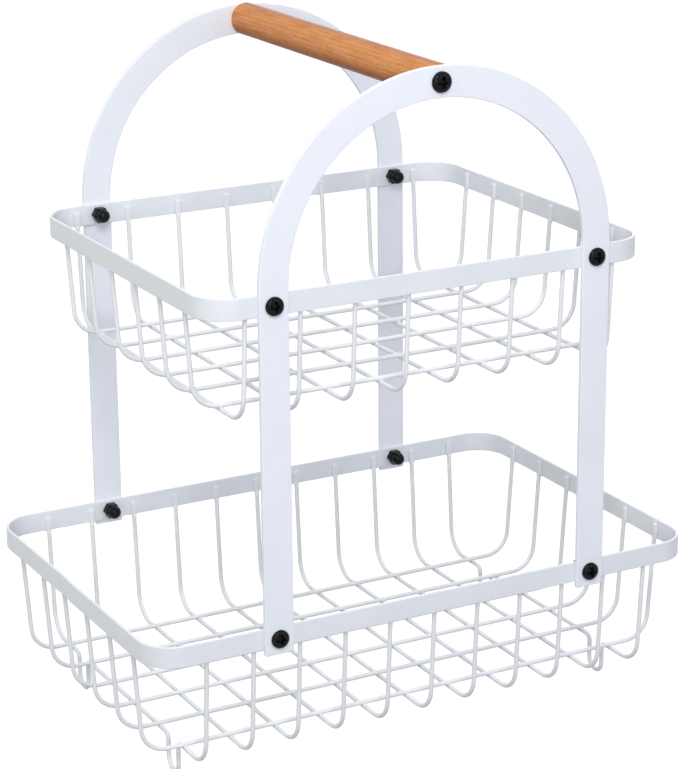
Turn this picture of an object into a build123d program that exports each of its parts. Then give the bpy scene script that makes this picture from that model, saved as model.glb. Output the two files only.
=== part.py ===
from build123d import *
import os
from math import atan2, ceil, cos, degrees, pi, radians, tan

# Tiered wire basket: two welded wire baskets, the smaller above the larger, hang by their flat steel
# rims between two flat steel arches. A wooden dowel joins the tops of the arches as a handle.
# Millimetres, +Z up, +X along the long sides, origin on the floor under the middle of the basket.

# Arches, flat bar bent edgewise
bar_width = 20.0
bar_thickness = 3.0
leg_pitch = 230.0            # between the centre lines of an arch's two legs
arch_gap = 264.0             # between the inner faces of the two arches
leg_tail = 3.5               # length of leg below the lower rim
spring_rise = 2.0            # straight leg above the upper rim, up to where the half circle starts
leg_corner = 1.0             # corners off the leg ends

# Rims, flat strip on edge bent into rounded rectangles
strip_height = 14.0
strip_thickness = 2.0
rim_corner = 24.0            # outer radius of the corners
lower_reach = 85.0           # from a leg's centre line out to the end of the rim
upper_reach = 43.0
tier_pitch = 215.0           # from one rim up to the other

# Basket wires, each bent into a U and welded to the inside of a rim
wire = 3.0                   # diameter
wire_sides = 8               # facets round a wire
facet_turn = 30.0            # degrees, the most that a bend turns from one facet to the next
wall_draft = 4.0             # degrees that the walls lean in
floor_bend = 18.0            # radius of the centre line where a wall turns into the floor
lower_depth = 74.5           # from a rim's lower edge down to the centre of the floor's cross wires
upper_depth = 67.5
lower_inner_count = 7        # cross wires between the legs
upper_inner_count = 6
lower_leg_gap = 17.5         # from a leg's centre line in to the nearest of them
upper_leg_gap = 21.0
lower_outer_gap = 15.0       # and out to the cross wire beyond the leg
lower_end_gap = 13.5         # from the end of a rim's corner to the last cross wire
upper_end_gap = 2.5
long_count = 6
long_end_gap = 15.5          # from the end of a rim's corner to the first long wire
weld_gap = 0.02              # left between pieces that the real basket has welded together

# Wire ends, pressed flat where they are welded
pad_width = 4.3
pad_thickness = 2.3
pad_drop = 2.5               # from the rim's upper edge down to the end of the wire
pad_flare = 2.0              # from the rim's lower edge down to where the wire is still round
pad_corner = 1.4             # corners off the end

# Feet, two loops in each of the outermost cross wires of the lower basket
foot_drop = 22.5             # from the floor down to the bottom of a loop, on the centre line
foot_width = 15.0            # between the centre lines of a loop's two sides
foot_shoulder = 4.5          # bend from the floor into a loop
foot_toe = 7.0               # bends at the bottom of a loop

# Handle
handle_diameter = 22.0
handle_easing = 0.8          # chamfer round the ends

# Screws and cap nuts
screw_diameter = 6.0
screw_length = 12.0          # under the head
head_diameter = 12.0
head_height = 3.6
handle_screw_length = 32.0
handle_head_diameter = 13.2
handle_head_height = 4.0
head_shares = [(0, 1), (0.35, 1), (0.8, 0.82), (1, 0.5)]      # of a head's height and radius
recess_span_share = 0.55     # cross recess, of the head's diameter
recess_width_share = 0.13
recess_depth_share = 0.6     # of the head's height
hole_clearance = 0.25        # round a screw in the steel
thread_clearance = 0.05      # round a screw in a nut or in the wood
tip_clearance = 2.0          # bore beyond the tip of a screw
nut_width = 10.0             # across flats
nut_height = 5.5             # hexagonal part
nut_total = 12.0
dome_diameter = 9.4
dome_shares = [(0, 1), (0.28, 1), (0.72, 0.8), (1, 0.3)]   # of its height and radius
turned_sides = 10            # facets round a screw or a nut

# Levels and places that follow
wire_radius = wire / 2
leg_place = leg_pitch / 2
lower_end = leg_place + lower_reach
upper_end = leg_place + upper_reach
foot_base = wire_radius
lower_floor = foot_base + foot_drop
lower_rim = lower_floor + lower_depth
upper_rim = lower_rim + tier_pitch
upper_floor = upper_rim - upper_depth
leg_base = lower_rim - leg_tail
spring_level = upper_rim + strip_height + spring_rise
handle_level = spring_level + leg_place
rim_levels = [rim + strip_height / 2 for rim in (lower_rim, upper_rim)]
inner_half_gap = arch_gap / 2 - strip_thickness
outer_half_gap = arch_gap / 2 + bar_thickness


os.makedirs("parts", exist_ok=True)


def save(piece, name):
    piece.label = name
    export_step(piece, f"parts/{name}.step")


def even(reach, count):
    """Even places for a row of wires from -reach to reach."""
    return [reach * (2 * i / (count - 1) - 1) for i in range(count)]


lower_outer = leg_place + lower_outer_gap
upper_outer = upper_end - rim_corner - upper_end_gap
foot_wire_place = lower_end - rim_corner - lower_end_gap
lower_cross_places = [-lower_outer, *even(leg_place - lower_leg_gap, lower_inner_count), lower_outer]
upper_cross_places = [-upper_outer, *even(leg_place - upper_leg_gap, upper_inner_count), upper_outer]
long_places = even(arch_gap / 2 - rim_corner - long_end_gap, long_count)
foot_place = (long_places[-1] + long_places[-2]) / 2
leg_holes = [(x, z) for x in (-leg_place, leg_place) for z in rim_levels]

# Arches. The front one is made and the rear one mirrors it.
with BuildPart() as front_arch:
    with BuildSketch(Plane.XZ.offset(arch_gap / 2)):
        with BuildLine():
            left_leg = Line((-leg_place, leg_base), (-leg_place, spring_level))
            bow = TangentArc(left_leg @ 1, (leg_place, spring_level), tangent=left_leg % 1)
            Line(bow @ 1, (leg_place, leg_base))
        trace(line_width=bar_width)
    extrude(amount=bar_thickness)
    leg_ends = front_arch.edges().filter_by(Axis.Y).group_by(Axis.Z)[0]
    chamfer(leg_ends, length=leg_corner)
    with BuildSketch(Plane.XZ.offset(arch_gap / 2)):
        with Locations((0, handle_level), *leg_holes):
            Circle(screw_diameter / 2 + hole_clearance)
    extrude(amount=bar_thickness, mode=Mode.SUBTRACT)

with BuildPart() as rear_arch:
    mirror(front_arch.part, about=Plane.XZ)

save(front_arch.part, "front_arch")
save(rear_arch.part, "rear_arch")


def rim_strip(end, level):
    with BuildPart() as strip:
        with BuildSketch(Plane.XY.offset(level)):
            RectangleRounded(2 * end, arch_gap, rim_corner)
            offset(amount=-strip_thickness, mode=Mode.SUBTRACT)
        extrude(amount=strip_height)
        with BuildSketch(Plane.XZ):
            with Locations(*[(x, level + strip_height / 2) for x in (-leg_place, leg_place)]):
                Circle(screw_diameter / 2 + hole_clearance)
        extrude(amount=arch_gap, both=True, mode=Mode.SUBTRACT)
    return strip.part


save(rim_strip(upper_end, upper_rim), "upper_rim")
save(rim_strip(lower_end, lower_rim), "lower_rim")


def bent(corners, radii):
    """The points of a route that turns at corners, each bend a row of short straight facets."""
    places = [Vector(*corner) for corner in corners]
    points = [places[0]]
    for before, corner, after, radius in zip(places, places[1:], places[2:], radii):
        heading = (corner - before).normalized()
        turn = heading.get_signed_angle(after - corner, Vector(0, 0, 1))
        facets = ceil(abs(turn) / facet_turn)
        half_facet = radius * tan(radians(abs(turn) / facets / 2))
        points.append(corner - heading * (radius * tan(radians(abs(turn) / 2)) - half_facet))
        for _ in range(facets - 1):
            heading = heading.rotate(Axis.Z, turn / facets)
            points.append(points[-1] + heading * 2 * half_facet)
    return [(point.X, point.Y) for point in points + [places[-1]]]


def basket_wire(rim_face, rim, floor, feet=()):
    """One U-shaped wire in the XZ plane, between the inner faces of a rim at rim_face either side.
    feet gives the places, right of the middle, of loops that reach down from the floor."""
    face = rim_face - weld_gap
    draft = radians(wall_draft)
    at_rim = face - wire_radius
    corners = [(at_rim, rim), (at_rim - (rim - floor) * tan(draft), floor)]
    bends = [floor_bend]
    for place in feet:
        outer, inner, toe = place + foot_width / 2, place - foot_width / 2, floor - foot_drop
        corners += [(outer, floor), (outer, toe), (inner, toe), (inner, floor)]
        bends += [foot_shoulder, foot_toe, foot_toe, foot_shoulder]
    flare = rim - pad_flare
    inside = at_rim - pad_flare * tan(draft) - wire_radius / cos(draft)
    flat = face - pad_thickness
    pad_top = rim + strip_height - pad_drop
    outline = [(wire_radius / 2, flare), (pad_width / 2, rim), (pad_width / 2, pad_top)]
    with BuildPart() as drawn:
        with BuildLine(Plane.XZ) as route:
            Polyline(*bent([*corners, (0, floor)], bends))
        with BuildSketch(route.line ^ 0):
            RegularPolygon(wire_radius, wire_sides, major_radius=False, rotation=180 / wire_sides)
        sweep(transition=Transition.RIGHT)
        with BuildSketch(Plane.XZ):
            Polygon((inside, flare), (flat, rim), (flat, rim + wire), (inside, rim + wire), align=None)
        extrude(amount=wire, both=True, mode=Mode.SUBTRACT)
        with BuildSketch(Plane.YZ.offset(face)) as pad:
            Polygon(*outline, *[(-y, z) for y, z in reversed(outline)], align=None)
            chamfer(pad.vertices().group_by(Axis.Y)[-1], length=pad_corner)
        extrude(amount=-pad_thickness)
        mirror(about=Plane.YZ)
    return drawn.part


def save_long(shape, places, name):
    for number, y in enumerate(places, start=1):
        save(shape.moved(Location((0, y, 0))), f"{name}_{number}")


def save_cross(shape, places, name):
    for number, x in enumerate(places, start=1):
        save(shape.moved(Location((x, 0, 0), (0, 0, 90))), f"{name}_{number}")


# Cross wires run front to back, and the long wires lie on them.
upper_cross = basket_wire(inner_half_gap, upper_rim, upper_floor)
lower_cross = basket_wire(inner_half_gap, lower_rim, lower_floor)
foot_wire = basket_wire(inner_half_gap, lower_rim, lower_floor, feet=[foot_place])
upper_long = basket_wire(upper_end - strip_thickness, upper_rim, upper_floor + wire + weld_gap)
lower_long = basket_wire(lower_end - strip_thickness, lower_rim, lower_floor + wire + weld_gap)

save_cross(upper_cross, upper_cross_places, "upper_cross_wire")
save_long(upper_long, long_places, "upper_long_wire")
save_cross(lower_cross, lower_cross_places, "lower_cross_wire")
save_long(lower_long, long_places, "lower_long_wire")
save_cross(foot_wire, [-foot_wire_place, foot_wire_place], "foot_wire")

# Handle, a dowel between the arches, with a bore for a screw in each end
grip_bore = handle_screw_length - bar_thickness + tip_clearance
with BuildPart() as handle:
    with BuildSketch(Plane.XZ.offset(-arch_gap / 2)):
        with Locations((0, handle_level)):
            Circle(handle_diameter / 2)
    extrude(amount=arch_gap)
    chamfer(handle.edges().filter_by(GeomType.CIRCLE), length=handle_easing)
    for end in handle.faces().filter_by(Axis.Y):
        with Locations(Plane(end)):
            Hole(screw_diameter / 2 + thread_clearance, depth=grip_bore)

save(handle.part, "handle")


def turned(height, radius, shares):
    """An upright turned shape of flat facets, standing on Z = 0, in bands from one share to the next."""
    with BuildPart() as shape:
        for (low, low_share), (high, high_share) in zip(shares, shares[1:]):
            rise = height * (high - low)
            narrowing = radius * (low_share - high_share) * cos(pi / turned_sides)
            with BuildSketch(Plane.XY.offset(height * low)):
                RegularPolygon(radius * low_share, turned_sides)
            extrude(amount=rise, taper=degrees(atan2(narrowing, rise)))
    return shape.part


def pan_screw(length, diameter, height):
    """Upright screw with a cross recess, its head standing on Z = 0."""
    head = turned(height, diameter / 2, head_shares)
    with BuildPart() as screw:
        add(head)
        with BuildSketch():
            RegularPolygon(screw_diameter / 2, turned_sides)
        extrude(amount=-length)
        with BuildSketch(Plane.XY.offset(height)):
            Rectangle(diameter * recess_span_share, diameter * recess_width_share)
            Rectangle(diameter * recess_width_share, diameter * recess_span_share)
        extrude(amount=-height * recess_depth_share, mode=Mode.SUBTRACT)
    return screw.part


def facing_out(x, z):
    """Places on the outer faces of both arches, looking away from the basket."""
    return [Plane(origin=(x, y, z), x_dir=(1, 0, 0), z_dir=(0, y, 0))
            for y in (-outer_half_gap, outer_half_gap)]


def facing_in(x, z):
    """Places on the inside of a rim's front and back, looking into the basket."""
    return [Plane(origin=(x, y, z), x_dir=(1, 0, 0), z_dir=(0, -y, 0))
            for y in (-inner_half_gap, inner_half_gap)]


leg_screw = pan_screw(screw_length, head_diameter, head_height)
handle_screw = pan_screw(handle_screw_length, handle_head_diameter, handle_head_height)

with BuildPart() as leg_screws:
    with Locations(*[seat for x, z in leg_holes for seat in facing_out(x, z)]):
        add(leg_screw)

with BuildPart() as handle_screws:
    with Locations(*facing_out(0, handle_level)):
        add(handle_screw)

save(leg_screws.part, "leg_screws")
save(handle_screws.part, "handle_screws")

# Cap nut, upright on Z = 0
nut_bore = screw_length - bar_thickness - strip_thickness + tip_clearance
dome = turned(nut_total - nut_height, dome_diameter / 2, dome_shares)
with BuildPart() as cap_nut:
    with BuildSketch():
        RegularPolygon(nut_width / 2, 6, major_radius=False)
    extrude(amount=nut_height)
    with Locations((0, 0, nut_height)):
        add(dome)
    with BuildSketch():
        RegularPolygon(screw_diameter / 2 + thread_clearance, turned_sides)
    extrude(amount=nut_bore, mode=Mode.SUBTRACT)

with BuildPart() as cap_nuts:
    with Locations(*[seat for x, z in leg_holes for seat in facing_in(x, z)]):
        add(cap_nut.part)

save(cap_nuts.part, "cap_nuts")
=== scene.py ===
from math import ceil, copysign, cos, pi, radians, sin, tan

import bmesh
import bpy
from mathutils import Matrix, Vector


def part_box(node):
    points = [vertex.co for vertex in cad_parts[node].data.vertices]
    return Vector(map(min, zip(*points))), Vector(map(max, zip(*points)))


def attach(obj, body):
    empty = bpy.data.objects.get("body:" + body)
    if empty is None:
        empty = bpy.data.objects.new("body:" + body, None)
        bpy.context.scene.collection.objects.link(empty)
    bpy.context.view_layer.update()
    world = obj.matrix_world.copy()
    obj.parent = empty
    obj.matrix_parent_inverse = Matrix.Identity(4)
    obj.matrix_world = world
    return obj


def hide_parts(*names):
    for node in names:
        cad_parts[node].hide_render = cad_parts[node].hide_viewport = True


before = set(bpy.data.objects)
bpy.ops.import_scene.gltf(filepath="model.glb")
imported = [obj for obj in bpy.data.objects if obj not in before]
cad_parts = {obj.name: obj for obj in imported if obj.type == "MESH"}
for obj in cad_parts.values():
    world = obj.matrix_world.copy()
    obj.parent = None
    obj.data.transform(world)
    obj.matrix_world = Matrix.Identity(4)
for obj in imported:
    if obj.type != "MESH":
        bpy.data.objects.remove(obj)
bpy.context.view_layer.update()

# Tiered wire basket: two welded wire baskets in flat steel rims, hung between two flat steel arches
# that a wooden dowel joins. Metres, +Z up, +X along the long sides, origin on the floor.

# Wire
wire = 0.003
wire_sides = 16
wall_draft = radians(4.0)        # lean of the basket walls
floor_bend = 0.018               # centre-line radius where a wall turns into the floor
bend_step = radians(8.0)         # turn from one ring of a bend to the next
flare = 0.0009                   # round wire below a rim, where the flattening starts
flare_rings = 4

# Flattened wire ends
pad_width = 0.0043
pad_thickness = 0.0023
long_pad_drop = 0.0025           # from a rim's upper edge down to the end of a long wire
cross_pad_drop = 0.0040          # and of a cross wire
pad_lead = 0.0010                # full flattening is reached this far above a rim's lower edge
pad_squareness = 0.65            # 0 leaves a pressed end oval, 1 makes it a sharp rectangle
pad_corner = 0.0011              # rounding of the end's two corners
pad_edge = 0.00045               # and of its upper edge
pad_end_rings = 4
weld_gap = 0.00002               # between the end and the rim it is welded to

# Foot loops
foot_width = 0.015
foot_shoulder = 0.0045
foot_toe = 0.007

# Weld beads where the floor wires cross
bead_radius = 0.0019
bead_height = 0.0009
bead_sides = 10
bead_rings = 6

# Flat steel
bar_width = 0.020
strip_thickness = 0.002
rim_corner = 0.024
bar_rounding = 0.0006            # coated edges of the arches
strip_rounding = 0.00055         # and of the rims
leg_corner = 0.001
corner_rings = 4
arch_step = radians(2.0)         # turn from one ring of an arch's bow to the next
rounding_segments = 3
round_profile = 0.5              # of a bevel

# The weld that closes the lower rim: its place along Y, and offsets from there with the depths of its ripples
seam_place = 0.005
seam_ripple = ((-0.0040, 0.0), (-0.0020, 0.00045), (0.0, 0.00005), (0.0016, 0.00040), (0.0036, 0.0))

# Handle
handle_easing = 0.0014
handle_sides = 72
easing_rings = 4

# Screws
head_radius = 0.006
head_height = 0.0031
handle_head_radius = 0.0066
handle_head_height = 0.0034
head_side_share = 0.28           # straight side of a head, of its height
head_seat_share = 0.97           # radius of a head's underside, of the head's
head_seat_rise = 0.2             # where the head is full, of its straight side
crown_flat_share = 0.34          # flat middle of a crown, of the head's radius
crown_rise_power = 0.9           # how the crown's curve differs from an ellipse, in height
crown_reach_power = 0.8          # and in width
crown_rings = 8
recess_width_share = 0.19        # of the head's diameter
recess_span_share = 0.60
recess_depth_share = 0.75        # of the head's height
recess_floor_share = 0.50        # width and span left at the bottom of the recess
shank_radius = 0.003
shank_end_share = 0.8            # radius of a shank's chamfered end, of the shank's
shank_chamfer_share = 0.2        # height of that chamfer, of the shank's radius
leg_shank = 0.012
handle_shank = 0.032
turned_sides = 40

# Cap nuts
nut_sides = 6
nut_flats = 0.010
nut_height = 0.0055              # of the hexagon
nut_total = 0.012                # with the dome
nut_easing = 0.00035
dome_radius = 0.0047
dome_turn = radians(86.0)        # how far the dome is rounded, up to a small flat
dome_rings = 9
neck_share = 0.995               # radius of the dome's neck, of the dome's
neck_sink = 0.001                # the neck starts this far inside the hexagon,
neck_height = 0.0002             # ends this far above it,
neck_lip = 0.0005                # and the dome is full here

# Noise in the materials. A scale counts per metre, and along is the share of it that counts along the dowel.
# A gloss is the roughness at a noise's low and high end, a relief is the strength and depth of a bump.
noise_low = 0.3
noise_high = 0.7

# Powder coat, with the pale and the deep tone of its cloudiness
bar_tones = ((0.835, 0.868, 0.945), (0.81, 0.843, 0.92))
rim_tones = ((0.785, 0.820, 0.875), (0.755, 0.790, 0.845))
wire_tones = ((0.825, 0.845, 0.880), (0.79, 0.810, 0.845))
flat_gloss = (0.30, 0.42)
wire_gloss = (0.32, 0.44)
coat_cloud = {"scale": 28.0, "detail": 3.0}
cloud_low = 0.32
cloud_high = 0.68
coat_peel = {"scale": 820.0, "detail": 1.5}
peel_relief = (0.22, 0.00004)
coat_ripple = {"scale": 240.0, "detail": 1.0}
ripple_relief = (0.25, 0.00012)
coat_specular = 0.45

# Dowel wood
pith_aside = 0.021               # centre of the growth rings, beside the dowel's axis
pith_below = 0.034               # and below it
rings_along = 0.05               # share of the rings' scale that counts along the dowel
wood_rings = {"Scale": 115.0, "Distortion": 5.0, "Detail": 3.0, "Detail Scale": 1.6}
wood_streaks = {"scale": 330.0, "detail": 4.0, "along": 0.13, "roughness": 0.60}
wood_fibres = {"scale": 1500.0, "detail": 4.0, "along": 0.09, "roughness": 0.62}
wood_pores = {"scale": 2400.0, "detail": 2.0, "along": 0.12, "roughness": 0.5}
ring_stops = ((0.0, (0.575, 0.216, 0.076)), (0.45, (0.67, 0.279, 0.102)), (1.0, (0.71, 0.315, 0.122)))
streak_stops = ((0.30, (0.49, 0.184, 0.065)), (0.52, (0.70, 0.300, 0.113)), (0.72, (0.775, 0.365, 0.152)))
fibre_stops = ((0.30, (0.80, 0.76, 0.72)), (0.60, (1.0, 1.0, 1.0)))
pore_stops = ((0.28, (0.52, 0.44, 0.40)), (0.36, (1.0, 1.0, 1.0)))
# Painted shade, not a stain: these stops darken the wood towards the dowel's underside and along its top,
# where less light falls
painted_shade_stops = ((0.0, (0.50, 0.38, 0.30)), (0.235, (0.62, 0.48, 0.39)), (0.34, (0.86, 0.73, 0.62)),
               (0.45, (1.0, 0.94, 0.88)), (0.58, (1.0, 1.0, 1.0)), (0.955, (1.0, 1.0, 1.0)),
               (1.0, (0.64, 0.57, 0.52)))        # from the dowel's underside to its top
streak_share = 0.55
fibre_share = 0.75
pore_share = 0.8
wood_gloss = (0.50, 0.38)
fibre_relief = (0.30, 0.00006)
pore_relief = (0.25, 0.00005)
wood_specular = 0.05

# Black enamel
enamel_mottle = {"scale": 900.0, "detail": 2.0}
enamel_stops = ((0.3, (0.003, 0.003, 0.004)), (0.7, (0.006, 0.006, 0.007)))
enamel_gloss = (0.05, 0.09)
enamel_relief = (0.20, 0.00003)
enamel_specular = 0.11

# Studio
floor_reach = 6.0
floor_tone = (0.28, 0.28, 0.28)
shadow_share = 0.30              # how much of a shadow the camera sees on the floor
ambient = 0.40
lamp_aim = (0.0, 0.0, 0.22)
lamps = (                        # name, place, size, power and tint
    ("top_box", (0.15, -0.25, 1.9), 1.6, 4.5, (1.0, 1.0, 1.0)),
    ("key_box", (-0.55, -1.10, 1.30), 0.42, 9.2, (1.0, 0.996, 0.980)),
    ("far_box", (-1.40, -2.70, 0.90), 1.2, 23.5, (0.920, 0.945, 1.0)),
    ("fill_box", (0.80, -1.60, 0.80), 1.0, 4.1, (0.910, 0.860, 1.0)),
    ("left_box", (-1.20, -0.30, 1.20), 0.8, 3.6, (0.940, 1.0, 0.830)),
    ("back_left_box", (-1.30, 1.60, 1.00), 1.2, 6.0, (1.0, 1.0, 1.0)),
    ("back_right_box", (1.20, 1.70, 1.00), 1.2, 8.0, (1.0, 1.0, 1.0)),
)

# Camera
camera_azimuth = radians(-28.08)
camera_elevation = radians(17.67)
camera_roll = radians(-0.54)
camera_distance = 1.73246
camera_target = Vector((0.00105, 0.0, 0.2158))
focal_pixels = 2573.06
image_long_side = 769.0          # of the photo, in pixels
sensor_width = 36.0              # millimetres

# Meshes
merge = 0.000002
sharp_turn = radians(40.0)       # edges that turn more stay sharp

# Colour sockets of a Mix node
mix_under = 6
mix_over = 7
mix_result = 2


# Mesh helpers

def edges_between(verts):
    """The edges that join a set of vertices to one another, in a steady order."""
    inside = set(verts)
    linked = dict.fromkeys(edge for vert in verts for edge in vert.link_edges)
    return [edge for edge in linked if edge.verts[0] in inside and edge.verts[1] in inside]


def verts_of(items):
    """The vertices among what a mesh operator gives."""
    return [item for item in items if isinstance(item, bmesh.types.BMVert)]


def draw_on(bm, edges, matrix):
    """Draws a ring of edges on by one step and gives the new ring."""
    made = bmesh.ops.extrude_edge_only(bm, edges=edges)["geom"]
    verts = verts_of(made)
    bmesh.ops.transform(bm, matrix=matrix, verts=verts)
    return edges_between(verts)


def run_on(bm, edges, x=0.0, y=0.0, z=0.0):
    """Draws a ring on in a straight line."""
    return draw_on(bm, edges, Matrix.Translation((x, y, z)))


def bend_on(bm, edges, centre, axis, angle, step):
    """Draws a ring on round a bend."""
    made = bmesh.ops.spin(bm, geom=edges, cent=centre, axis=axis, angle=angle,
                          steps=ceil(abs(angle) / step), use_duplicate=False)
    return edges_between(verts_of(made["geom_last"]))


def section(centre, width=1.0, depth=1.0, tilt=0.0):
    """Where a ring drawn flat round the origin goes: scaled, tilted about Y and moved."""
    return (Matrix.Translation(centre) @ Matrix.Rotation(tilt, 4, "Y")
            @ Matrix.Diagonal((width, depth, 1.0, 1.0)))


def sections_on(bm, edges, sections):
    """Draws a ring on through a row of sections, of which the ring is at the first."""
    for before, after in zip(sections, sections[1:]):
        edges = draw_on(bm, edges, after @ before.inverted())
    return edges


def mirror_mesh(bm, axis):
    """Adds the other half of a mesh, mirrored through the middle of the basket."""
    bmesh.ops.mirror(bm, geom=bm.verts[:] + bm.edges[:] + bm.faces[:], matrix=Matrix(),
                     merge_dist=merge, axis=axis)


def rounded_face(bm, width, height, rounding, matrix):
    """A flat rectangle with rounded corners. Gives its outline."""
    seat = matrix @ Matrix.Diagonal((width / 2, height / 2, 1.0, 1.0))
    corners = bmesh.ops.create_grid(bm, x_segments=1, y_segments=1, size=1.0, matrix=seat)["verts"]
    bmesh.ops.bevel(bm, geom=corners, offset=rounding, offset_type="OFFSET", segments=rounding_segments,
                    profile=round_profile, affect="VERTICES", material=-1)
    return [edge for edge in bm.edges if edge.is_boundary]


def finish_mesh(bm, name):
    """Closes the seams, turns the faces outwards and makes the mesh."""
    bmesh.ops.remove_doubles(bm, verts=bm.verts, dist=merge)
    bmesh.ops.recalc_face_normals(bm, faces=bm.faces)
    for face in bm.faces:
        face.smooth = True
    mesh = bpy.data.meshes.new(name)
    bm.to_mesh(mesh)
    bm.free()
    mesh.set_sharp_from_angle(angle=sharp_turn)
    return mesh


def put_in_scene(name, data):
    """An object of its own for a mesh, a lamp or a camera."""
    item = bpy.data.objects.new(name, data)
    bpy.context.scene.collection.objects.link(item)
    return item


def place(mesh, name, finish, slot, *nodes):
    """Puts a finished mesh into the scene in place of CAD nodes."""
    mesh.materials.append(finish)
    piece = put_in_scene(name, mesh)
    weighted = piece.modifiers.new("even_flats", "WEIGHTED_NORMAL")
    weighted.keep_sharp = True
    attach(piece, "root")
    if nodes:
        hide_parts(*nodes)
    return piece


# Material helpers

class Finish:
    """A node material under construction."""

    def __init__(self, name):
        self.material = bpy.data.materials.new(name)
        self.material.use_nodes = True
        self.tree = self.material.node_tree
        self.tree.nodes.clear()
        output = self.add("ShaderNodeOutputMaterial")
        self.shader = self.add("ShaderNodeBsdfPrincipled")
        self.join(self.shader, "BSDF", output, "Surface")
        self.place = self.add("ShaderNodeTexCoord")

    def add(self, kind, **settings):
        node = self.tree.nodes.new(kind)
        for key, value in settings.items():
            if key in node.inputs:
                node.inputs[key].default_value = value
            else:
                setattr(node, key, value)
        return node

    def join(self, source, output, target, socket):
        self.tree.links.new(source.outputs[output], target.inputs[socket])

    def noise(self, scale, detail, roughness=0.5, along=None):
        """Noise on the piece's own coordinates, stretched along Y where along is given."""
        noise = self.add("ShaderNodeTexNoise", Scale=scale, Detail=detail, Roughness=roughness)
        if along is None:
            self.join(self.place, "Object", noise, "Vector")
        else:
            mapping = self.add("ShaderNodeMapping", Scale=(1.0, along, 1.0))
            self.join(self.place, "Object", mapping, "Vector")
            self.join(mapping, "Vector", noise, "Vector")
        return noise

    def ramp(self, source, output, stops):
        """A colour ramp of (place, colour) stops on a value."""
        ramp = self.add("ShaderNodeValToRGB")
        elements = ramp.color_ramp.elements
        while len(elements) < len(stops):
            elements.new(0.5)        # its place is set below
        for element, (at, colour) in zip(elements, stops):
            element.position = at
            element.color = (*colour, 1.0)
        self.join(source, output, ramp, "Fac")
        return ramp

    def blend(self, under, output, over, share=1.0, kind="MULTIPLY"):
        """Lays a ramp's colour over another node's."""
        blend = self.add("ShaderNodeMix", data_type="RGBA", blend_type=kind, Factor=share)
        self.join(under, output, blend, mix_under)
        self.join(over, "Color", blend, mix_over)
        return blend

    def spread(self, source, output, low, high, start=noise_low, end=noise_high):
        """Maps a value's range, or a noise's middle one, onto low to high."""
        spread = self.add("ShaderNodeMapRange")
        for socket, value in (("From Min", start), ("From Max", end), ("To Min", low), ("To Max", high)):
            spread.inputs[socket].default_value = value
        self.join(source, output, spread, "Value")
        return spread

    def bump(self, source, output, strength, distance, under=None):
        bump = self.add("ShaderNodeBump", Strength=strength, Distance=distance)
        self.join(source, output, bump, "Height")
        if under is not None:
            self.join(under, "Normal", bump, "Normal")
        return bump


def powder_coat(name, tones, gloss):
    """Satin powder coat: a fine orange peel, with faint cloudiness in tone and gloss."""
    pale, deep = tones
    finish = Finish(name)
    cloud = finish.noise(**coat_cloud)
    tone = finish.ramp(cloud, "Fac", ((cloud_low, deep), (cloud_high, pale)))
    finish.join(tone, "Color", finish.shader, "Base Color")
    peel = finish.noise(**coat_peel)
    roughness = finish.spread(peel, "Fac", *gloss)
    finish.join(roughness, "Result", finish.shader, "Roughness")
    ripple = finish.noise(**coat_ripple)
    broad = finish.bump(ripple, "Fac", *ripple_relief)
    fine = finish.bump(peel, "Fac", *peel_relief, under=broad)
    finish.join(fine, "Normal", finish.shader, "Normal")
    finish.shader.inputs["Specular IOR Level"].default_value = coat_specular
    return finish.material


bar_coat = powder_coat("arch_powder_coat", bar_tones, flat_gloss)
band_coat = powder_coat("rim_powder_coat", rim_tones, flat_gloss)
wire_coat = powder_coat("wire_powder_coat", wire_tones, wire_gloss)


def dowel_wood(axis_level, radius):
    """Turned dowel: growth rings cut lengthways, fine fibres and short pores along the grain, with painted
    shade towards its underside and its top.
    """
    finish = Finish("dowel_wood")
    grain = finish.add("ShaderNodeMapping", Location=(pith_aside, 0.0, pith_below - axis_level),
                       Scale=(1.0, rings_along, 1.0))
    finish.join(finish.place, "Object", grain, "Vector")
    rings = finish.add("ShaderNodeTexWave", wave_type="RINGS", rings_direction="Y", **wood_rings)
    finish.join(grain, "Vector", rings, "Vector")
    fibres = finish.noise(**wood_fibres)
    streaks = finish.noise(**wood_streaks)
    pores = finish.noise(**wood_pores)

    ring_tone = finish.ramp(rings, "Fac", ring_stops)
    streak_tone = finish.ramp(streaks, "Fac", streak_stops)
    mixed = finish.blend(ring_tone, "Color", streak_tone, streak_share, kind="MIX")
    fibred = finish.blend(mixed, mix_result, finish.ramp(fibres, "Fac", fibre_stops), fibre_share)
    pored = finish.blend(fibred, mix_result, finish.ramp(pores, "Fac", pore_stops), pore_share)
    # Painted shade: the wood's colour is multiplied darker towards the dowel's underside and its top, by
    # height
    height = finish.add("ShaderNodeSeparateXYZ")
    finish.join(finish.place, "Object", height, "Vector")
    girth = finish.spread(height, "Z", 0.0, 1.0, start=axis_level - radius, end=axis_level + radius)
    shaded_wood = finish.blend(pored, mix_result, finish.ramp(girth, "Result", painted_shade_stops))
    finish.join(shaded_wood, mix_result, finish.shader, "Base Color")

    finish.shader.inputs["Specular IOR Level"].default_value = wood_specular
    roughness = finish.spread(fibres, "Fac", *wood_gloss)
    finish.join(roughness, "Result", finish.shader, "Roughness")
    relief = finish.bump(fibres, "Fac", *fibre_relief)
    pitted = finish.bump(pores, "Fac", *pore_relief, under=relief)
    finish.join(pitted, "Normal", finish.shader, "Normal")
    return finish.material


def black_enamel():
    """Gloss black hardware with faint handling marks."""
    finish = Finish("black_enamel")
    mottle = finish.noise(**enamel_mottle)
    tone = finish.ramp(mottle, "Fac", enamel_stops)
    finish.join(tone, "Color", finish.shader, "Base Color")
    finish.shader.inputs["Specular IOR Level"].default_value = enamel_specular
    roughness = finish.spread(mottle, "Fac", *enamel_gloss)
    finish.join(roughness, "Result", finish.shader, "Roughness")
    relief = finish.bump(mottle, "Fac", *enamel_relief)
    finish.join(relief, "Normal", finish.shader, "Normal")
    return finish.material


enamel = black_enamel()


# Arches

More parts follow.
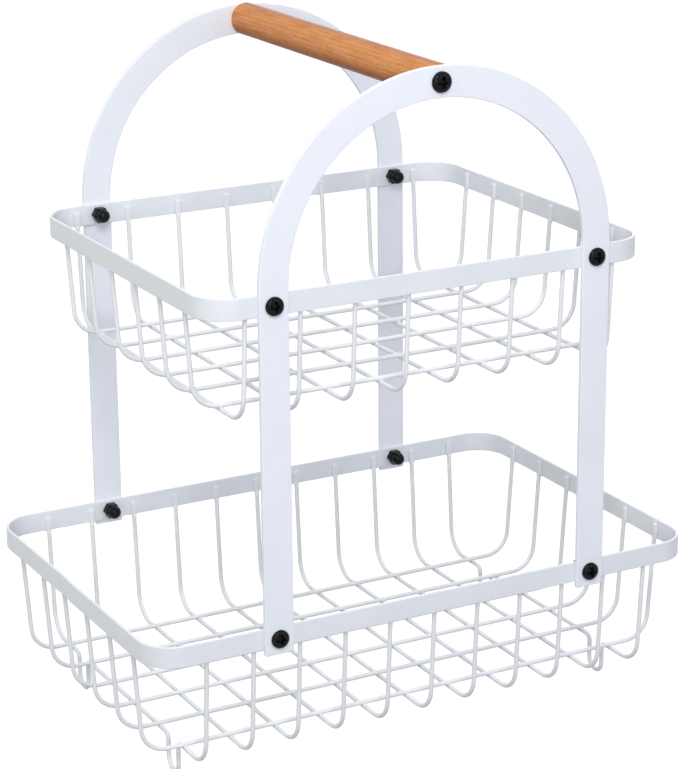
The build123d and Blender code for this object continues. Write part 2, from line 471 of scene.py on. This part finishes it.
def arch(name, node):
    """A flat bar bent edgewise: half is drawn from a leg's end to the top, then mirrored."""
    low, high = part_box(node)
    thickness = high.y - low.y
    middle = (low.y + high.y) / 2
    leg = high.x - bar_width / 2
    spring = high.z - bar_width / 2 - leg
    bm = bmesh.new()

    def ring(turn):
        """A section of the leg's end, rounded in over the leg's corner."""
        inset = 1 - sin(turn)
        at = Vector((leg, middle, low.z + leg_corner * (1 - cos(turn))))
        return section(at, width=1 - 2 * leg_corner * inset / bar_width,
                       depth=1 - 2 * bar_rounding * inset / thickness)

    turns = [pi / 2 * number / corner_rings for number in range(corner_rings + 1)]
    rings = [ring(turn) for turn in turns]
    edges = rounded_face(bm, bar_width, thickness, bar_rounding, Matrix())
    bmesh.ops.transform(bm, matrix=rings[0], verts=bm.verts)
    edges = sections_on(bm, edges, rings)
    edges = run_on(bm, edges, z=spring - rings[-1].translation.z)
    bend_on(bm, edges, (0.0, middle, spring), (0.0, 1.0, 0.0), -pi / 2, arch_step)
    mirror_mesh(bm, "X")
    return place(finish_mesh(bm, name), name, bar_coat, "bar_coat", node)


arch("front_bar", "front_arch")
arch("rear_bar", "rear_arch")


# Rims

def weld_seam(bm, end):
    """The dressed weld that closes a strip into a ring: shallow ripples across its left end."""
    for offset, depth in seam_ripple:
        strip = [face for face in bm.faces if face.calc_center_median().x < end + 2 * strip_thickness]
        edges = dict.fromkeys(edge for face in strip for edge in face.edges)
        verts = dict.fromkeys(vert for face in strip for vert in face.verts)
        cut = bmesh.ops.bisect_plane(bm, geom=[*verts, *edges, *strip], dist=merge,
                                     plane_co=(0.0, seam_place + offset, 0.0), plane_no=(0.0, 1.0, 0.0))
        bmesh.ops.translate(bm, verts=verts_of(cut["geom_cut"]), vec=(depth, 0.0, 0.0))


def rim(name, node, seam_shows=False):
    """A flat strip on edge: one quarter is drawn, then mirrored twice."""
    low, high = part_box(node)
    height = high.z - low.z
    level = (low.z + high.z) / 2
    side = high.y - strip_thickness / 2
    bm = bmesh.new()
    upright = Matrix.Translation((0.0, -side, level)) @ Matrix.Rotation(pi / 2, 4, "Y")
    edges = rounded_face(bm, height, strip_thickness, strip_rounding, upright)
    bmesh.ops.delete(bm, geom=bm.faces[:], context="FACES_ONLY")
    edges = run_on(bm, edges, x=high.x - rim_corner)
    edges = bend_on(bm, edges, (high.x - rim_corner, rim_corner - high.y, level), (0.0, 0.0, 1.0), pi / 2,
                    bend_step / 2)
    run_on(bm, edges, y=high.y - rim_corner)
    mirror_mesh(bm, "X")
    mirror_mesh(bm, "Y")
    if seam_shows:
        weld_seam(bm, low.x)
    return place(finish_mesh(bm, name), name, band_coat, "bar_coat", node)


rim("upper_band", "upper_rim")
rim("lower_band", "lower_rim", seam_shows=True)


# Basket wires

def foot_loops(bm, edges, foot, floor, foot_base):
    """One loop down to the table, drawn on along the floor of a wire."""
    across = Vector((0.0, 1.0, 0.0))
    left, right = foot - foot_width / 2, foot + foot_width / 2
    drop = floor - foot_base - foot_shoulder - foot_toe
    edges = run_on(bm, edges, x=left - foot_shoulder)
    edges = bend_on(bm, edges, (left - foot_shoulder, 0.0, floor - foot_shoulder), across, pi / 2, bend_step)
    edges = run_on(bm, edges, z=-drop)
    edges = bend_on(bm, edges, (left + foot_toe, 0.0, foot_base + foot_toe), across, -pi / 2, bend_step)
    edges = run_on(bm, edges, x=foot_width - 2 * foot_toe)
    edges = bend_on(bm, edges, (right - foot_toe, 0.0, foot_base + foot_toe), across, -pi / 2, bend_step)
    edges = run_on(bm, edges, z=drop)
    return bend_on(bm, edges, (right + foot_shoulder, 0.0, floor - foot_shoulder), across, pi / 2, bend_step)


def square_up(verts, seat, share):
    """Turns a round ring of wire towards a rectangle with rounded corners, in its own plane."""
    power = 1 - pad_squareness * share
    for vert in verts:
        at = seat.inverted() @ vert.co
        for axis in (0, 1):
            at[axis] = copysign((abs(at[axis]) / (wire / 2)) ** power * wire / 2, at[axis])
        vert.co = seat @ at


def eased(share):
    """A share from 0 to 1 with a smooth start and end."""
    return share * share * (3 - 2 * share)


def flattened_end(bm, edges, face, rim_base, pad_top):
    """The wire's end, pressed flat against the rim and rounded off."""
    start = Vector((face - wire / 2 - flare * tan(wall_draft), 0.0, rim_base - flare))
    flat = Vector((face - pad_thickness / 2, 0.0, rim_base + pad_lead))
    sections = []
    shares = []
    for number in range(flare_rings + 1):
        rise = number / flare_rings
        share = eased(rise)
        at = start.lerp(flat, rise)
        at.x = start.x + (flat.x - start.x) * share
        sections.append(section(at, width=1 + (pad_thickness / wire - 1) * share,
                                depth=1 + (pad_width / wire - 1) * share, tilt=wall_draft * (1 - share)))
        shares.append(share)
    for number in range(pad_end_rings + 1):
        turn = pi / 2 * number / pad_end_rings
        inset = 2 * (1 - cos(turn))
        at = Vector((flat.x, 0.0, pad_top - pad_corner * (1 - sin(turn))))
        sections.append(section(at, width=(pad_thickness - pad_edge * inset) / wire,
                                depth=(pad_width - pad_corner * inset) / wire))
        shares.append(1.0)
    rings = []
    for before, after in zip(sections, sections[1:]):
        edges = draw_on(bm, edges, after @ before.inverted())
        rings.append([vert for edge in edges for vert in edge.verts])
    for verts, seat, share in zip(rings, sections[1:], shares[1:]):
        square_up(dict.fromkeys(verts), seat, share)
    bmesh.ops.edgeloop_fill(bm, edges=edges)


def basket_wire(span, rim_node, floor, pad_drop, foot=None):
    """Half of a U-shaped wire is drawn in the XZ plane, from the middle of the floor outwards, then
    mirrored. span is the rim's inner width, floor the level of the wire's centre line there."""
    low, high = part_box(rim_node)
    face = span / 2 - weld_gap
    bm = bmesh.new()
    facing_x = Matrix.Translation((0.0, 0.0, floor)) @ Matrix.Rotation(pi / 2, 4, "Y")
    first = bmesh.ops.create_circle(bm, segments=wire_sides, radius=wire / 2, matrix=facing_x)["verts"]
    edges = edges_between(first)
    drawn = 0.0
    if foot is not None:
        edges = foot_loops(bm, edges, foot, floor, wire / 2)
        drawn = foot + foot_width / 2 + foot_shoulder
    corner = face - wire / 2 - (low.z - floor) * tan(wall_draft)
    tangent = floor_bend * tan((pi / 2 - wall_draft) / 2)
    edges = run_on(bm, edges, x=corner - tangent - drawn)
    edges = bend_on(bm, edges, (corner - tangent, 0.0, floor + floor_bend), (0.0, 1.0, 0.0),
                    wall_draft - pi / 2, bend_step)
    rise = low.z - flare - floor - tangent * cos(wall_draft)
    edges = run_on(bm, edges, x=rise * tan(wall_draft), z=rise)
    flattened_end(bm, edges, face, low.z, high.z - pad_drop)
    mirror_mesh(bm, "X")
    return bm


def wires_of(tier):
    """The wire nodes of one basket."""
    starts = (f"{tier}_long_", f"{tier}_cross_")
    if tier == "lower":
        starts += ("foot_",)
    return [node for node in sorted(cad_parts) if node.startswith(starts)]


def basket_wires(tier):
    """All wires of one basket, each in the place of its CAD node."""
    rim_node = f"{tier}_rim"
    rim_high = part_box(rim_node)[1]
    long_span = 2 * (rim_high.x - strip_thickness)
    cross_span = 2 * (rim_high.y - strip_thickness)
    for node in wires_of(tier):
        low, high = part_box(node)
        centre = (low + high) / 2
        seat = Matrix.Translation((centre.x, 0.0, 0.0)) @ Matrix.Rotation(pi / 2, 4, "Z")
        if "_long_" in node:
            bm = basket_wire(long_span, rim_node, low.z + wire / 2, long_pad_drop)
            seat = Matrix.Translation((0.0, centre.y, 0.0))
        elif node.startswith("foot_"):
            bm = basket_wire(cross_span, rim_node, floor_level("lower"), cross_pad_drop, foot_place())
        else:
            bm = basket_wire(cross_span, rim_node, low.z + wire / 2, cross_pad_drop)
        bmesh.ops.transform(bm, matrix=seat, verts=bm.verts)
        name = node.replace("wire", "rod")
        place(finish_mesh(bm, name), name, wire_coat, "wire_coat", node)


def floor_level(tier):
    """Level of the centre line of a basket's cross wires."""
    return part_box(f"{tier}_cross_wire_1")[0].z + wire / 2


def long_places():
    """Places of the long wires from front to back, the same in both baskets."""
    nodes = sorted(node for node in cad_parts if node.startswith("lower_long_"))
    return [(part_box(node)[0].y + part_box(node)[1].y) / 2 for node in nodes]


def foot_place():
    """Middle of the outermost space between two long wires."""
    return (long_places()[-1] + long_places()[-2]) / 2


basket_wires("upper")
basket_wires("lower")


# Weld beads

def floor_welds(tier):
    """A small bead at every crossing of a basket's floor."""
    crossing = [node for node in sorted(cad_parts) if node.startswith(f"{tier}_cross_")]
    if tier == "lower":
        crossing += ["foot_wire_1", "foot_wire_2"]
    level = floor_level(tier) + wire / 2
    bm = bmesh.new()
    for node in crossing:
        low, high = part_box(node)
        for y in long_places():
            at = Matrix.Translation(((low.x + high.x) / 2, y, level))
            shape = Matrix.Diagonal((bead_radius, bead_radius, bead_height, 1.0))
            bmesh.ops.create_uvsphere(bm, u_segments=bead_sides, v_segments=bead_rings, radius=1.0,
                                      matrix=at @ shape)
    name = f"{tier}_floor_welds"
    return place(finish_mesh(bm, name), name, wire_coat, "wire_coat")


floor_welds("upper")
floor_welds("lower")


# Handle

def dowel():
    """Half of the dowel is drawn from its front end to the middle, then mirrored."""
    low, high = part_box("handle")
    radius = (high.x - low.x) / 2
    level = (low.z + high.z) / 2
    bm = bmesh.new()
    bmesh.ops.create_circle(bm, cap_ends=True, segments=handle_sides, radius=1.0)
    edges = bm.edges[:]
    sections = []
    for number in range(easing_rings + 1):
        turn = pi / 2 * number / easing_rings
        size = radius - handle_easing * (1 - sin(turn))
        sections.append(section((0.0, 0.0, handle_easing * (1 - cos(turn))), width=size, depth=size))
    sections.append(section((0.0, 0.0, -low.y), width=radius, depth=radius))
    bmesh.ops.transform(bm, matrix=sections[0], verts=bm.verts)
    sections_on(bm, edges, sections)
    lying = Matrix.Translation((0.0, low.y, level)) @ Matrix.Rotation(-pi / 2, 4, "X")
    bmesh.ops.transform(bm, matrix=lying, verts=bm.verts)
    mirror_mesh(bm, "Y")
    return place(finish_mesh(bm, "dowel"), "dowel", dowel_wood(level, radius), "wood", "handle")


dowel()


# Screws and cap nuts

def turned(bm, outline):
    """An upright turned solid from (height, radius) pairs, closed at both ends."""
    made = bmesh.ops.create_circle(bm, cap_ends=True, segments=turned_sides, radius=1.0)["verts"]
    sections = [section((0.0, 0.0, height), width=radius, depth=radius) for height, radius in outline]
    edges = edges_between(made)
    bmesh.ops.transform(bm, matrix=sections[0], verts=made)
    edges = sections_on(bm, edges, sections)
    bmesh.ops.edgeloop_fill(bm, edges=edges)


def cut_out(mesh, cutter_mesh):
    """The mesh with another one cut out of it."""
    body = put_in_scene("body", mesh)
    cutter = put_in_scene("cutter", cutter_mesh)
    cut = body.modifiers.new("cut", "BOOLEAN")
    cut.operation = "DIFFERENCE"
    cut.object = cutter
    cut.solver = "EXACT"
    bpy.context.view_layer.update()
    result = bpy.data.meshes.new_from_object(body.evaluated_get(bpy.context.evaluated_depsgraph_get()))
    for item in (body, cutter):
        bpy.data.objects.remove(item)
    return result


def recess_cutter(radius, height):
    """A tapering cross, which has its full size at the top of the head."""
    bm = bmesh.new()
    width = 2 * radius * recess_width_share
    reach = radius * recess_span_share - width / 2
    bmesh.ops.create_cube(bm, size=width)
    upright = [face for face in bm.faces if abs(face.normal.z) < abs(face.normal.x) + abs(face.normal.y)]
    arms = bmesh.ops.extrude_discrete_faces(bm, faces=upright)["faces"]
    for arm in arms:
        bmesh.ops.translate(bm, verts=arm.verts, vec=arm.normal * reach)
    depth = height * recess_depth_share
    for vert in bm.verts:
        side = copysign(1, vert.co.z)
        share = 1 + side * (1 - recess_floor_share)
        vert.co = Vector((vert.co.x * share, vert.co.y * share, height + side * depth))
    return finish_mesh(bm, "recess_cutter")


def screw_mesh(radius, height, length):
    """A round-headed screw, its head standing on Z = 0 and its shank below."""
    bm = bmesh.new()
    side = height * head_side_share
    outline = [(-length, shank_radius * shank_end_share),
               (-length + shank_radius * shank_chamfer_share, shank_radius),
               (0.0, shank_radius),
               (0.0, radius * head_seat_share),
               (side * head_seat_rise, radius)]
    for number in range(crown_rings + 1):
        turn = pi / 2 * number / crown_rings
        rise = sin(turn) ** crown_rise_power
        reach = cos(turn) ** crown_reach_power
        outline.append((side + (height - side) * rise,
                        radius * (crown_flat_share + (1 - crown_flat_share) * reach)))
    turned(bm, outline)
    mesh = finish_mesh(bm, "screw_blank")
    return cut_out(mesh, recess_cutter(radius, height))


def nut_mesh():
    """A domed cap nut, its open end on Z = 0."""
    bm = bmesh.new()
    half_flat = pi / nut_sides
    hexagon = bmesh.ops.create_circle(bm, cap_ends=True, segments=nut_sides,
                                      radius=nut_flats / 2 / cos(half_flat),
                                      matrix=Matrix.Rotation(half_flat, 4, "Z"))["verts"]
    top = draw_on(bm, edges_between(hexagon), Matrix.Translation((0.0, 0.0, nut_height)))
    bmesh.ops.edgeloop_fill(bm, edges=top)
    bmesh.ops.bevel(bm, geom=bm.edges[:], offset=nut_easing, offset_type="OFFSET", segments=rounding_segments,
                    profile=round_profile, affect="EDGES", material=-1)
    shoulder = nut_total - dome_radius
    neck_radius = dome_radius * neck_share
    outline = [(nut_height - neck_sink, neck_radius), (nut_height + neck_height, neck_radius),
               (nut_height + neck_lip, dome_radius)]
    for number in range(dome_rings + 1):
        turn = dome_turn * number / dome_rings
        outline.append((shoulder + dome_radius * sin(turn), dome_radius * cos(turn)))
    turned(bm, outline)
    return finish_mesh(bm, "cap_nut")


def copies(mesh, seats):
    """One mesh that holds a copy at each seat."""
    bm = bmesh.new()
    for seat in seats:
        start = len(bm.verts)
        bm.from_mesh(mesh)
        bm.verts.ensure_lookup_table()
        bmesh.ops.transform(bm, matrix=seat, verts=bm.verts[start:])
    return bm


def seats_on(y, places, outwards):
    """Seats on the planes +-y at (x, z) places, looking away from the basket or into it."""
    seats = []
    for side in (-1.0, 1.0):
        facing = side if outwards else -side
        turn = Matrix.Rotation(-facing * pi / 2, 4, "X")
        seats += [Matrix.Translation((x, side * y, z)) @ turn for x, z in places]
    return seats


arch_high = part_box("rear_arch")[1]
rim_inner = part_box("upper_rim")[1].y - strip_thickness
leg_x = arch_high.x - bar_width / 2
rim_levels = [(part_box(node)[0].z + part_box(node)[1].z) / 2 for node in ("lower_rim", "upper_rim")]
leg_seats = [(x, z) for x in (-leg_x, leg_x) for z in rim_levels]
handle_level = (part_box("handle")[0].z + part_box("handle")[1].z) / 2

leg_screw = screw_mesh(head_radius, head_height, leg_shank)
leg_screws = copies(leg_screw, seats_on(arch_high.y, leg_seats, True))
place(finish_mesh(leg_screws, "black_leg_screws"), "black_leg_screws", enamel, "black_hardware", "leg_screws")

handle_screw = screw_mesh(handle_head_radius, handle_head_height, handle_shank)
handle_screws = copies(handle_screw, seats_on(arch_high.y, [(0.0, handle_level)], True))
place(finish_mesh(handle_screws, "black_handle_screws"), "black_handle_screws", enamel, "black_hardware",
      "handle_screws")

cap_nuts = copies(nut_mesh(), seats_on(rim_inner, leg_seats, False))
place(finish_mesh(cap_nuts, "black_cap_nuts"), "black_cap_nuts", enamel, "black_hardware", "cap_nuts")


# Floor and background

def seen_as_white(tree):
    """A value that is 1 for what the camera sees, also in gloss and glass, and 0 for other light."""
    path = tree.nodes.new("ShaderNodeLightPath")
    either = tree.nodes.new("ShaderNodeMath")
    either.operation = "ADD"
    tree.links.new(path.outputs["Is Camera Ray"], either.inputs[0])
    tree.links.new(path.outputs["Is Glossy Ray"], either.inputs[1])
    seen = tree.nodes.new("ShaderNodeMath")
    seen.operation = "ADD"
    seen.use_clamp = True
    tree.links.new(either.outputs[0], seen.inputs[0])
    tree.links.new(path.outputs["Is Transmission Ray"], seen.inputs[1])
    return seen


def studio_floor():
    """A pale floor that lights the object from below. The camera sees it white, with a faint shadow."""
    bm = bmesh.new()
    bmesh.ops.create_grid(bm, x_segments=1, y_segments=1, size=floor_reach)
    mesh = bpy.data.meshes.new("studio_floor")
    bm.to_mesh(mesh)
    bm.free()
    floor = put_in_scene("studio_floor", mesh)
    material = bpy.data.materials.new("studio_floor")
    material.use_nodes = True
    tree = material.node_tree
    tree.nodes.clear()
    output = tree.nodes.new("ShaderNodeOutputMaterial")
    lit = tree.nodes.new("ShaderNodeBsdfDiffuse")
    lit.inputs["Color"].default_value = (*floor_tone, 1.0)
    shade = tree.nodes.new("ShaderNodeBsdfDiffuse")
    shade.inputs["Color"].default_value = (shadow_share, shadow_share, shadow_share, 1.0)
    glow = tree.nodes.new("ShaderNodeEmission")
    glow.inputs["Strength"].default_value = 1.0 - shadow_share * ambient
    shown = tree.nodes.new("ShaderNodeAddShader")
    tree.links.new(shade.outputs[0], shown.inputs[0])
    tree.links.new(glow.outputs[0], shown.inputs[1])
    mix = tree.nodes.new("ShaderNodeMixShader")
    seen = seen_as_white(tree)
    tree.links.new(seen.outputs[0], mix.inputs[0])
    tree.links.new(lit.outputs[0], mix.inputs[1])
    tree.links.new(shown.outputs[0], mix.inputs[2])
    tree.links.new(mix.outputs[0], output.inputs["Surface"])
    mesh.materials.append(material)


def studio_world():
    """Even pale light from all round, seen white behind the object."""
    world = bpy.data.worlds.new("studio")
    bpy.context.scene.world = world
    world.use_nodes = True
    tree = world.node_tree
    tree.nodes.clear()
    output = tree.nodes.new("ShaderNodeOutputWorld")
    backdrop = tree.nodes.new("ShaderNodeBackground")
    backdrop.inputs["Color"].default_value = (1.0, 1.0, 1.0, 1.0)
    strength = tree.nodes.new("ShaderNodeMapRange")
    strength.inputs["To Min"].default_value = ambient
    strength.inputs["To Max"].default_value = 1.0
    seen = seen_as_white(tree)
    tree.links.new(seen.outputs[0], strength.inputs["Value"])
    tree.links.new(strength.outputs[0], backdrop.inputs["Strength"])
    tree.links.new(backdrop.outputs[0], output.inputs["Surface"])


def softbox(name, spot, size, power, tint):
    """A square area light that faces the basket."""
    data = bpy.data.lights.new(name, "AREA")
    data.size = size
    data.energy = power
    data.color = tint
    lamp = put_in_scene(name, data)
    lamp.location = spot
    lamp.rotation_mode = "QUATERNION"
    lamp.rotation_quaternion = (Vector(lamp_aim) - Vector(spot)).to_track_quat("-Z", "Y")
    lamp.visible_camera = False


studio_floor()
studio_world()
for lamp in lamps:
    softbox(*lamp)


# Camera

back = Vector((sin(camera_azimuth) * cos(camera_elevation), -cos(camera_azimuth) * cos(camera_elevation),
               sin(camera_elevation)))
level_right = Vector((cos(camera_azimuth), sin(camera_azimuth), 0.0))
level_up = back.cross(level_right)
right = cos(camera_roll) * level_right + sin(camera_roll) * level_up
up = cos(camera_roll) * level_up - sin(camera_roll) * level_right
lens = bpy.data.cameras.new("camera")
lens.sensor_width = sensor_width
lens.lens = focal_pixels / image_long_side * sensor_width
camera = put_in_scene("camera", lens)
facing = Matrix((right, up, back)).transposed()
camera.matrix_world = Matrix.Translation(camera_target + back * camera_distance) @ facing.to_4x4()
bpy.context.scene.camera = camera

bpy.context.scene.view_settings.view_transform = "Standard"
